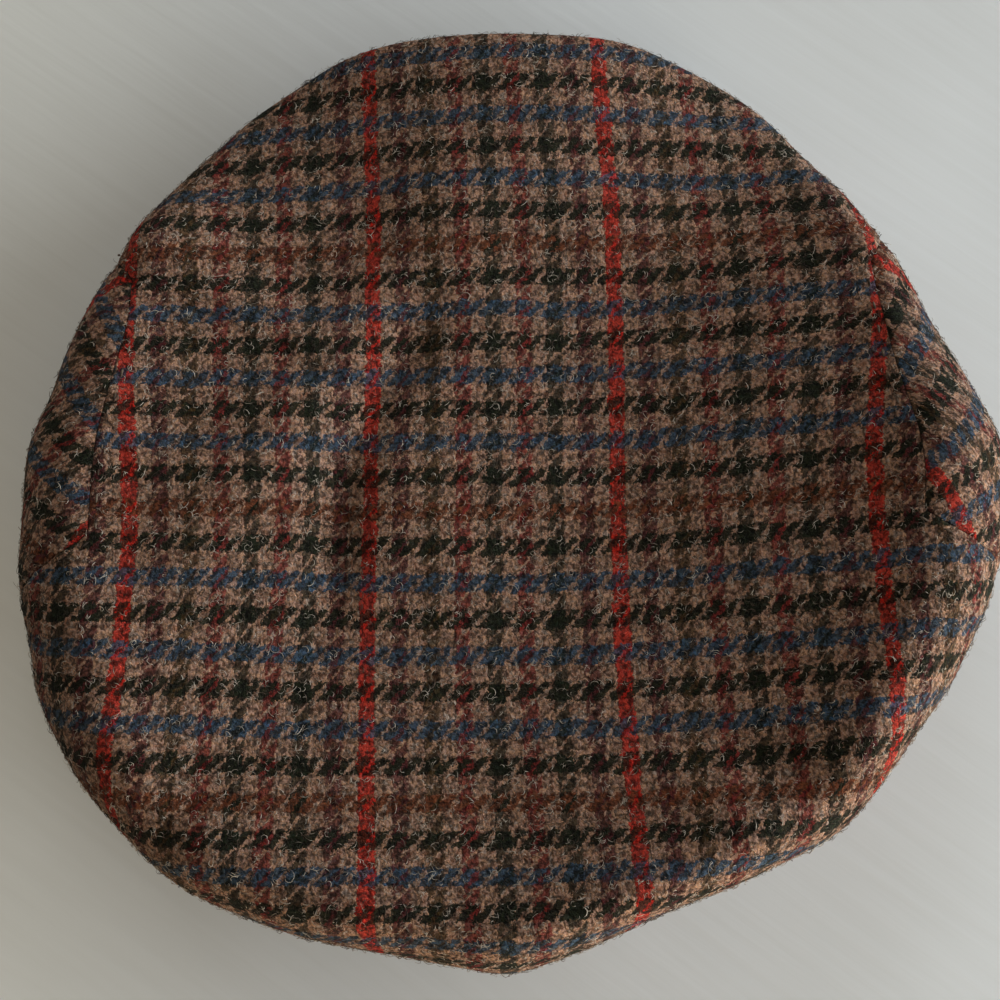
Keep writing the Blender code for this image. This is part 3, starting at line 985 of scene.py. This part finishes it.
        # Painted shade: the colour darkens in the grooves between yarns, where the bump's height is low
        painted_groove_shade = nodes.spread(yarn, 0.0, self.groove_width, self.groove_painted_shade, 1.0)
        color = nodes.times(color, nodes.math("MULTIPLY", painted_groove_shade, self.shade))
        nodes.dress(color, Roughness=self.roughness, Specular_IOR_Level=self.specular,
                    Sheen_Weight=self.sheen, Sheen_Roughness=self.sheen_roughness)
        height = nodes.math("ADD", nodes.math("MULTIPLY", yarn, self.yarn_height), nap)
        nodes.bump(height, self.bump_strength, self.bump_height)
        return nodes.material


@dataclass(frozen=True)
class Wool:
    """Finish of loose fibres and of sewing thread: a mottled plain colour."""

    name: str
    dark: tuple = (0.028, 0.019, 0.014)
    middle: tuple = (0.12, 0.084, 0.062)
    light: tuple = (0.50, 0.44, 0.37)
    scale: float = 420.0
    stops: tuple = (0.38, 0.50, 0.60)
    roughness: float = 0.85
    specular: float = 0.2

    def material(self) -> bpy.types.Material:
        """Builds the finish, with its colour from noise on Object coordinates.

        Returns:
            The material.
        """
        nodes = Nodes(self.name)
        where = nodes.add("TexCoord", {}).outputs["Object"]
        mottle = nodes.noise(where, self.scale, 1.0).outputs["Fac"]
        color = nodes.ramp(mottle, list(zip(self.stops, (self.dark, self.middle, self.light))))
        nodes.dress(color, Roughness=self.roughness, Specular_IOR_Level=self.specular)
        return nodes.material


@dataclass(frozen=True)
class PalePaint:
    """Finish of the table: flat pale paint, brushed along one way, with painted light on its left side.
    """

    name: str = "pale_paint"
    color: tuple = (0.722, 0.752, 0.780)
    shade: tuple = (0.662, 0.686, 0.704)
    # Painted light: the next two rows lighten and warm the table towards -X, where the cap's shadow
    # falls, as a painted fill
    painted_fill_light: tuple = (1.16, 1.13, 1.06)
    painted_fill_edge: tuple = (-0.04, -0.17)
    grain: float = 35.0
    brush: tuple = (16, 260, 16)
    cloud_scale: float = 9.0
    cloud_share: float = 0.75
    stops: tuple = (0.35, 0.62)
    roughness: float = 0.55
    bump_strength: float = 0.25
    bump_height: float = 0.0004

    def material(self) -> bpy.types.Material:
        """Builds the finish, with faint brush marks in its colour and bump, and a painted light patch
        on the left.

        Returns:
            The material.
        """
        nodes = Nodes(self.name)
        where = nodes.add("TexCoord", {}).outputs["Object"]
        turn = {"Vector": where, "Angle": radians(self.grain)}
        turned = nodes.add("VectorRotate", turn, rotation_type="Z_AXIS")
        brushed = nodes.vector("MULTIPLY", turned.outputs[0], self.brush)
        marks = nodes.noise(brushed, 1.0, 3.0).outputs["Fac"]
        cloud = nodes.noise(where, self.cloud_scale, 2.0).outputs["Fac"]
        cloudy = nodes.math("MULTIPLY", cloud, self.cloud_share)
        share = nodes.math("ADD", nodes.math("MULTIPLY", marks, 1 - self.cloud_share), cloudy)
        color = nodes.ramp(share, list(zip(self.stops, (self.shade, self.color))))
        # Painted light: the colour is lifted and warmed towards -X, standing in for warm fill light in
        # the cap's shadow
        place = nodes.add("SeparateXYZ", {"Vector": where}).outputs[0]
        painted_fill_share = nodes.spread(place, self.painted_fill_edge[1], self.painted_fill_edge[0], 1.0, 0.0)
        tint = nodes.blend(painted_fill_share, (1, 1, 1, 1), (*self.painted_fill_light, 1))
        nodes.dress(nodes.blend(1.0, color, tint, "MULTIPLY"), Roughness=self.roughness)
        nodes.bump(marks, self.bump_strength, self.bump_height)
        return nodes.material


@dataclass
class Cloth:
    """A piece of cloth with an outer and an inner face, and what hangs on it."""

    form: CrownForm
    finish: bpy.types.Material
    widest_slant: float = 3.0

    def place_on_part(self, piece: bpy.types.Object, node: str, slot: str) -> None:
        """Rides on the one body and stands for the node's solid, which it hides.

        Args:
            piece: the cloth.
            node: the solid's node.
            slot: the material slot; not used.
        """
        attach(piece, "root")
        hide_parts(node)

    def declare(self, piece: bpy.types.Object, cut: Grid, points: Grid, quads: Grid) -> None:
        """Args:
            piece: the cloth.
            cut: flat places of its points.
            points: its points.
            quads: the quads of its outer face.
        """
        spans = cut.max(axis=0) - cut.min(axis=0)
        a, b, c, d = (points[quads[:, n]] for n in range(4))
        area = float(np.linalg.norm(np.cross(c - a, d - b), axis=1).sum() / 2)
        area = min(area, float(spans[0] * spans[1]))
        triangles = len(piece.data.loops) - 2 * len(piece.data.polygons)
        LOG.info("%s: cut %.0f x %.0f mm, %.0f square cm, %d triangles", piece.name,
                 spans[0] / MM, spans[1] / MM, area / SQUARE_CM, triangles)


@dataclass
class TopCloth(Cloth):
    """The crown's top: one piece of cloth from its middle to the seams and the peak."""

    column_step: float = 0.78
    turn_step: float = 0.30
    turns: tuple = ((28.0, 34.0), (150.0, 156.0), (189.0, 199.0), (344.0, 354.0))
    rings: int = 108
    inner_rings: int = 34
    rim_rings: float = 0.6
    edge_rings: tuple = (4.0, 3.2, 2.5, 1.9, 1.4, 1.0, 0.7, 0.45, 0.25, 0.1, 0.0)
    pulls: tuple = (
        Pull("front", 0.0, 0.98, 0.80, 0.34, 4.0, -4.3, 0),
        Pull("back_stripes", 0.30, -0.98, 0.55, 0.40, -5.0, 0.0, 0),
        Pull("back_rows", 0.0, -0.75, 1.30, 0.62, 0.0, 4.8, 0),
        Pull("left_stripe", -0.78, -0.25, 0.28, 0.35, -3.4, 0.0, 0),
        Pull("left_corner", -0.80, 0.66, 0.25, 0.18, 5.0, 0.0, 0),
        Pull("right_stripe_front", 0.75, 0.38, 0.25, 0.28, -3.8, 0.0, 0),
        Pull("right_stripe_back", 0.75, -0.50, 0.30, 0.35, -2.8, 0.0, 0),
        Pull("right_rows", 0.95, 0.05, 0.55, 0.95, 0.0, -6.0, 0),
        Pull("left_front_rows", -0.75, 0.50, 0.50, 0.50, 0.0, 2.8, 0),
    )

    def angles(self) -> Grid:
        """Angles of the columns, closer where the seam runs steeply.

        Returns:
            The angles in degrees, in growing order.
        """
        angles = np.arange(0, 360, self.column_step)
        for low, high in self.turns:
            close = np.arange(low, high, self.turn_step)
            clear = (angles < low - self.turn_step) | (angles > high)
            angles = np.sort(np.concatenate([angles[clear], close]))
        return angles

    def seam_ends(self, angle: Grid) -> tuple:
        """Ends of the cloth.

        Args:
            angle: degrees.

        Returns:
            The place of the end, the place for each metre across the seam, and where a seam is.
        """
        form = self.form
        sewn = form.from_front(angle) > form.side_end
        end = np.where(sewn, form.seam_place(angle, -1), form.edge)
        widening = np.minimum(np.sqrt(1 + form.seam_slant(angle) ** 2), self.widest_slant)
        rate = np.where(sewn, widening, 1.0) / form.per_place(angle, end - form.place_step)
        return end, rate, sewn

    def places(self, angle: Grid, rings: int, edges: tuple) -> Grid:
        """Places of each column's rings: even ones first, then some close to the seam.

        Args:
            angle: degrees, one for each column.
            rings: how many even ones.
            edges: distances of the close ones from the seam in mm, or none.

        Returns:
            The places, columns by rings.
        """
        end, rate, _ = self.seam_ends(angle)
        last = end - edges[0] * MM * rate if edges else end
        floor = 1 / (1 + self.rim_rings * np.maximum(last - 1, 0))[:, None]
        last = last[:, None]
        u = np.arange(rings + 1)[None, :] / rings
        first = np.where(last > 1, u / floor, u * last)
        over_rim = 1 + (last - 1) * (u - floor) / (1 - floor + LEAST_SHARE)
        place = np.where((last > 1) & (u >= floor), over_rim, first)
        near = end[:, None] - np.array(edges[1:])[None, :] * MM * rate[:, None]
        return np.concatenate([place, near], axis=1)

    def flat(self, smooth: Grid, angle: Grid) -> Grid:
        """Flat places of columns of points: length along the column, turned by its angle.

        Args:
            smooth: the points, columns by rings.
            angle: degrees, one for each column.

        Returns:
            One pair for each point.
        """
        east, north = compass(angle)
        length = lengths_along(smooth)
        return np.stack([length * east[:, None], length * north[:, None]], axis=-1)

    def shape(self, angle: Grid, place: Grid) -> tuple:
        """Outer points with their relief, and their places in the flat cloth.

        A point's flat place is its distance along the cloth from the middle, turned by its
        angle, plus the pulls.

        Args:
            angle: degrees, one for each column.
            place: places, columns by rings.

        Returns:
            The points and the flat places.
        """
        form = self.form
        smooth = form.smooth_points(angle[:, None], place)
        end, rate, sewn = self.seam_ends(angle)
        seam = (end[:, None] - place) / rate[:, None]
        seam = np.where(sewn[:, None], seam, 1.0)
        relief = form.relief(smooth, angle[:, None] + 0 * place, place, seam)
        points = smooth + form.normals(angle[:, None], place) * relief[..., None]
        uv = self.flat(smooth, angle)
        unit = form.half_width
        x, y = smooth[..., 0], smooth[..., 1]
        uv[..., 0] += bells(self.pulls, unit, x, y, "across") * MM
        uv[..., 1] += bells(self.pulls, unit, x, y, "along") * MM
        return points, uv

    def build(self) -> tuple:
        """Builds the piece.

        Returns:
            The object, its points and the quads of its outer face.
        """
        form, angle = self.form, self.angles()
        place = self.places(angle, self.rings, self.edge_rings)
        outer, outer_uv = self.shape(angle, place)
        inside = self.places(angle, self.inner_rings, ())
        smooth = form.smooth_points(angle[:, None], inside)
        inner = form.inner_points(smooth, angle[:, None], inside)
        inner_uv = self.flat(smooth, angle)

        # Ring 0 is the middle, one point for all the columns, so it is left out of both grids
        columns, rings, lower = len(angle), place.shape[1] - 1, inside.shape[1] - 1
        grids = [outer[:, 1:], inner[:, 1:], outer[:1, :1], inner[:1, :1]]
        flats = [outer_uv[:, 1:], inner_uv[:, 1:], outer_uv[:1, :1], inner_uv[:1, :1]]
        points = np.concatenate([g.reshape(-1, 3) for g in grids]) - form.middle()
        uv = np.concatenate([g.reshape(-1, 2) for g in flats])
        below = columns * rings
        middle, under = below + columns * lower, below + columns * lower + 1
        outside = grid_quads(columns, rings, 0, True)
        inside_quads = grid_quads(columns, lower, below, True)[:, ::-1]
        start = np.arange(columns) * rings
        fan = np.stack([np.full(columns, middle), start, np.roll(start, -1)], axis=-1)
        start = below + np.arange(columns) * lower
        under_fan = np.stack([np.full(columns, under), np.roll(start, -1), start], axis=-1)
        border = strip_quads(np.arange(columns) * rings + rings - 1, start + lower - 1, True)
        faces = [outside, inside_quads, border, fan, under_fan]
        piece = make_mesh("top_cloth", points, faces, uv, self.finish)
        self.place_on_part(piece, "top_panel", "tweed_top")
        self.declare(piece, uv, points, outside)
        return piece, points, outside


@dataclass
class SideCloth(Cloth):
    """A side panel, from the centre-back seam to the peak's corner, cut on the bias."""

    side: Side = Side.LEFT
    columns: int = 236
    rings: int = 40
    bias: float = 54.0
    anchor_turn: float = 80.0
    anchor_flat: tuple = (-0.0366, 0.0)
    edge_rings: tuple = (0.0, 0.1, 0.25, 0.45, 0.7, 1.0, 1.4, 1.9, 2.5)
    edge_share: float = 0.5
    crowding: float = 1.02

    def build(self) -> tuple:
        """Builds the piece.

        Its flat place is (a, b) turned by the bias, where a is the distance round the bulge from
        the centre back and b the length of cloth up from the hem. Where the seam has the
        anchor's turn, a red stripe starts.

        Returns:
            The object, its points and the quads of its outer face.
        """
        form, sign = self.form, self.side.value
        first = np.degrees(form.seam_gap / 2 / form.opening_radius(270.0))
        even = np.linspace(0, 1, self.columns)
        turns = first + (180 - form.side_end - first) * even**self.crowding
        angle = np.sort(270 + sign * turns)
        start = form.seam_place(angle, 1)
        widening = np.sqrt(1 + form.seam_slant(angle) ** 2)
        rate = np.minimum(widening, self.widest_slant)
        rate = rate / form.per_place(angle, start + form.place_step)
        share = (form.edge - start) / (self.edge_rings[-1] * MM * rate)
        narrow = (rate * np.minimum(share * self.edge_share, 1))[:, None]
        close = np.array(self.edge_rings)[None, :] * MM * narrow
        u = np.arange(1, self.rings + 1)[None, :] / self.rings
        near = start[:, None] + close
        place = np.concatenate([near, near[:, -1:] + (form.edge - near[:, -1:]) * u], axis=1)
        place[:, -1] = form.edge
        turn = angle[:, None]

        smooth = form.smooth_points(turn, place)
        round_back = lengths_along(form.smooth_points(angle, form.bulge)[None])[0]
        round_back = round_back if sign > 0 else round_back[-1] - round_back
        a = round_back[:, None] + 0 * place
        b = lengths_along(smooth)
        b = b[:, -1:] - b
        seam = np.minimum((place - start[:, None]) / rate[:, None], a)
        relief = form.relief(smooth, turn + 0 * place, place, seam)
        outer = smooth + form.normals(turn, place) * relief[..., None]
        inner = form.inner_points(smooth, turn, place)

        bias = radians(self.bias) * sign
        anchor = np.argmin(np.abs(angle - 270 - sign * self.anchor_turn))
        east, north = (a - a[anchor, 0]) * sign, b - b[anchor, 0]
        across = east * cos(bias) - north * sin(bias)
        along = east * sin(bias) + north * cos(bias)
        flat = np.stack([across, along], axis=-1) + self.anchor_flat
        points = np.concatenate([outer.reshape(-1, 3), inner.reshape(-1, 3)]) - form.middle()
        uv = np.tile(flat.reshape(-1, 2), (2, 1))
        faces = walled_quads(*place.shape)
        name = self.side.name.lower()
        piece = make_mesh(f"{name}_side_cloth", points, faces, uv, self.finish)
        self.place_on_part(piece, f"{name}_side_panel", "tweed_side")
        self.declare(piece, np.stack([a, b], axis=-1).reshape(-1, 2), points, faces[0])
        return piece, points, faces[0]


@dataclass
class PeakCover(Cloth):
    """The stiff peak: an arched crescent of board with the cloth wrapped round it."""

    columns: int = 130
    rings: int = 26
    edge_turns: tuple = (15.0, 35.0, 55.0, 75.0)

    def build(self) -> tuple:
        """Builds the piece.

        Its flat place is the plan, stretched round the rim by (turn - sin turn) times half the
        thickness, so that the check runs on down the edge.

        Returns:
            The object, its points and the quads of its upper face.
        """
        form = self.form
        angle = np.linspace(90 - form.peak_spread, 90 + form.peak_spread, self.columns)[:, None]
        radius_off = form.peak_thickness / 2
        near = form.opening_radius(angle)
        full = form.reach(angle) - form.peak_inset - radius_off
        off = (form.from_front(angle) - form.peak_full) / (form.peak_spread - form.peak_full)
        off = np.clip(off, 0, 1)
        far = near + (full - near) * np.sqrt(1 - form.peak_taper * off**2)
        u = np.arange(self.rings + 1)[None, :] / self.rings
        turns = np.radians(self.edge_turns)[None, :]
        radius = np.concatenate([near + (far - near) * u, far + radius_off * np.sin(turns)], axis=1)
        drop = np.concatenate([0 * u, radius_off * (1 - np.cos(turns))], axis=1)
        east, north = compass(angle)
        x, y = radius * east, radius * north
        under = form.peak_underside(angle)
        upper = np.stack([x, y, under + form.peak_thickness - drop], axis=-1)
        lower = np.stack([x, y, under + drop], axis=-1)
        points = np.concatenate([upper.reshape(-1, 3), lower.reshape(-1, 3)]) - form.middle()
        edge = np.concatenate([0 * u, radius_off * (turns - np.sin(turns))], axis=1)
        spread = radius + edge
        ways = np.stack([east, north], axis=-1)
        rest = radius_off * (pi - 2 * turns[0, -1])
        uv = np.concatenate([(spread[..., None] * ways).reshape(-1, 2),
                             ((spread + rest)[..., None] * ways).reshape(-1, 2)]) - form.middle()[:2]
        faces = walled_quads(*x.shape)
        piece = make_mesh("peak_cover", points, faces, uv, self.finish)
        self.place_on_part(piece, "peak", "tweed_peak")
        LOG.info("%s: %d columns by %d rings on each face", piece.name, *x.shape)
        return piece, points, faces[0]


@dataclass
class SeamStitches:
    """Sewing thread that shows along the seam as short sunken stitches."""

    form: CrownForm
    finish: bpy.types.Material
    length: float = 0.0024
    period: float = 0.0068
    radius: float = 0.00032
    inset: float = 0.0019
    sink: float = 0.00055
    steps: int = 6
    sides: int = 6
    margin: float = 1.0
    turn_step: float = 0.05
    blunt: float = 0.09

    def build(self) -> bpy.types.Object:
        """Builds the stitches: each arches from under the cloth to its face and back.

        Returns:
            All the stitches as one piece.
        """
        form = self.form
        end = form.side_end + self.margin
        angle = np.arange(90 + end, 450 - end, self.turn_step)
        rate = np.sqrt(1 + form.seam_slant(angle) ** 2) / form.per_place(angle, form.seam_middle(angle))
        place = form.seam_place(angle, -1) - self.inset * rate
        line = form.smooth_points(angle, place)
        along = lengths_along(line[None])[0]
        starts = np.arange(self.period, along[-1] - self.period, self.period)
        u = np.linspace(0, 1, self.steps)
        where = starts[:, None] + self.length * u[None, :]
        paths = np.stack([np.interp(where, along, line[:, n]) for n in range(3)], axis=-1)
        turn = np.interp(where, along, angle)
        normal = form.normals(turn, np.interp(where, along, place))
        arch = self.radius * np.sin(u * pi) - self.sink
        paths = paths + normal * arch[None, :, None] - form.middle()
        radii = self.radius * np.sqrt(np.clip(1 - (2 * u - 1) ** 2, self.blunt, 1)) + 0 * where
        points, faces = tubes(paths, radii, normal[:, self.steps // 2], self.sides)
        piece = make_mesh("seam_stitches", points, faces, points[:, :2].copy(), self.finish)
        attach(piece, "root")
        LOG.info("seam_stitches: %d stitches", len(starts))
        return piece


@dataclass
class Fuzz:
    """Loose fibres that stand and curl on a cloth's face, as in a napped woollen."""

    finish: bpy.types.Material
    count: int = 6900
    steps: int = 5
    sides: int = 3
    lengths: tuple = (0.0012, 0.0038)
    radii: tuple = (0.00006, 0.00012)
    lifts: tuple = (0.0002, 0.0010)
    lift_shares: tuple = (0.3, 1.0)
    curls: tuple = (0.8, 4.6)
    turns: tuple = (0.45, 1.0)
    taper: float = 0.6
    root: float = 0.0001
    floor: float = 0.0002

    def build(self, name: str, slot: str, points: Grid, quads: Grid, seed: int) -> bpy.types.Object:
        """Builds one batch of fibres.

        Each lies in the cloth's plane on an arc of length s and curl k, at (sin kq, 1 - cos kq)
        s / k for q from 0 to 1, and rises by its lift times sin(pi q turn).

        Args:
            name: the batch's name.
            slot: material slot of the cloth under it; not used.
            points: the cloth's points.
            quads: the cloth's outer quads.
            seed: seed of the random numbers.

        Returns:
            The batch as one piece.
        """
        draw = np.random.default_rng(seed)
        base, normal = scatter(points, quads, self.count, draw)
        size = (self.count, 1)
        heading = draw.normal(size=(self.count, 3))
        first = np.cross(normal, heading)
        first /= np.linalg.norm(first, axis=-1, keepdims=True)
        second = np.cross(normal, first)
        length = draw.uniform(*self.lengths, size)
        curl = draw.uniform(*self.curls, size)
        lift = draw.uniform(*self.lifts, size) * draw.uniform(*self.lift_shares, size)
        turn = draw.uniform(*self.turns, size)
        q = np.linspace(0, 1, self.steps)[None, :]
        east, north = length / curl * np.sin(curl * q), length / curl * (1 - np.cos(curl * q))
        up = lift * np.sin(pi * q * turn) - self.root
        paths = base[:, None] + first[:, None] * east[..., None] + second[:, None] * north[..., None]
        paths = paths + normal[:, None] * up[..., None]
        paths[..., 2] = np.maximum(paths[..., 2], self.floor)
        radii = draw.uniform(*self.radii, size) * (1 - self.taper * q)
        mesh_points, faces = tubes(paths, radii, normal, self.sides)
        piece = make_mesh(name, mesh_points, faces, mesh_points[:, :2].copy(), self.finish)
        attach(piece, "root")
        LOG.info("%s: %d fibres", name, self.count)
        return piece


@dataclass
class Table:
    """The painted table that the cap lies on."""

    finish: bpy.types.Material
    half: float = 1.5

    def build(self) -> bpy.types.Object:
        """Builds the table's face, level with the hem.

        Returns:
            The table.
        """
        corners = np.array([(-1, -1, 0), (1, -1, 0), (1, 1, 0), (-1, 1, 0)]) * self.half
        quad = [np.array([[0, 1, 2, 3]])]
        table = make_mesh("table", corners, quad, corners[:, :2].copy(), self.finish)
        return table


@dataclass
class Daylight:
    """A wide low window at the right, a weak one ahead, a warm lamp and the room's warm fill."""

    windows: tuple = (
        Window("right_window", -8.0, 14.0, 1.3, 2.4, 0.7, 39.5, (0.915, 0.975, 1.0)),
        Window("front_window", 105.0, 34.0, 1.5, 1.0, 0.8, 4.8, (0.915, 0.975, 1.0)),
        Window("warm_lamp", -58.0, 5.2, 1.2, 0.5, 0.2, 7.5, (1.0, 0.74, 0.38)),
    )
    room: tuple = (1.0, 0.85, 0.64)
    room_strength: float = 0.212

    def build(self) -> None:
        """Hangs the area lights and sets the world's fill."""
        for row in self.windows:
            lamp = bpy.data.lights.new(row.name, "AREA")
            lamp.shape, lamp.size, lamp.size_y = "RECTANGLE", row.width, row.height
            lamp.energy, lamp.color = row.power, row.color
            window = bpy.data.objects.new(row.name, lamp)
            turn, rise = radians(row.azimuth), radians(row.elevation)
            toward = Vector((cos(turn) * cos(rise), sin(turn) * cos(rise), sin(rise)))
            window.location = toward * row.distance
            window.rotation_euler = toward.to_track_quat("Z", "Y").to_euler()
            bpy.context.scene.collection.objects.link(window)
        world = bpy.data.worlds.new("room")
        world.use_nodes = True
        world.node_tree.nodes["Background"].inputs["Color"].default_value = (*self.room, 1)
        world.node_tree.nodes["Background"].inputs["Strength"].default_value = self.room_strength
        bpy.context.scene.world = world
        bpy.context.scene.view_settings.view_transform = "Standard"


@dataclass
class PhotoCamera:
    """The camera, almost straight above the cap as in the photo."""

    elevation: float = 83.0
    distance: float = 0.357
    view_angle: float = 40.0
    target: tuple = (-0.0022, -0.0105, 0.040)
    sensor: float = 36.0
    nearest: float = 0.01

    def build(self, middle: Grid) -> None:
        """Places the camera and makes it the scene's.

        Args:
            middle: middle of the outline, which the target is measured from.
        """
        data = bpy.data.cameras.new("photo_camera")
        data.sensor_width = self.sensor
        data.lens = self.sensor / 2 / tan(radians(self.view_angle / 2))
        data.clip_start = self.nearest
        camera = bpy.data.objects.new("photo_camera", data)
        rise = radians(self.elevation)
        target = Vector(self.target) - Vector(middle)
        camera.location = target - Vector((0, cos(rise), -sin(rise))) * self.distance
        camera.rotation_euler = (pi / 2 - rise, 0, 0)
        bpy.context.scene.collection.objects.link(camera)
        bpy.context.scene.camera = camera


def main() -> None:
    logging.basicConfig(level=logging.INFO, format="%(message)s")
    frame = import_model()
    LOG.info("frame loaded: %s", type(frame).__name__)
    form = CrownForm()
    top = TopCloth(form, Tweed("tweed_top").material())
    _, top_points, top_quads = top.build()
    side_finish = Tweed("tweed_side").material()
    hair = Wool("loose_fibres").material()
    fuzz = Fuzz(hair)
    for number in range(TOP_BATCHES):
        name = f"top_fibres_{number + 1}"
        fuzz.build(name, "tweed_top", top_points, top_quads, TOP_SEED + number)
    side_fuzz = Fuzz(hair, count=SIDE_FIBRES)
    for side in Side:
        _, points, quads = SideCloth(form, side_finish, side=side).build()
        name = f"{side.name.lower()}_side_fibres"
        side_fuzz.build(name, "tweed_side", points, quads, SIDE_SEED + side.value)
    _, points, quads = PeakCover(form, Tweed("tweed_peak").material()).build()
    peak_fuzz = Fuzz(hair, count=PEAK_FIBRES)
    peak_fuzz.build("peak_fibres", "tweed_peak", points, quads, PEAK_SEED)
    SeamStitches(form, Wool("sewing_thread", light=(0.13, 0.10, 0.075)).material()).build()
    Table(PalePaint().material()).build()
    Daylight().build()
    PhotoCamera().build(form.middle())


if __name__ == "__main__":
    main()
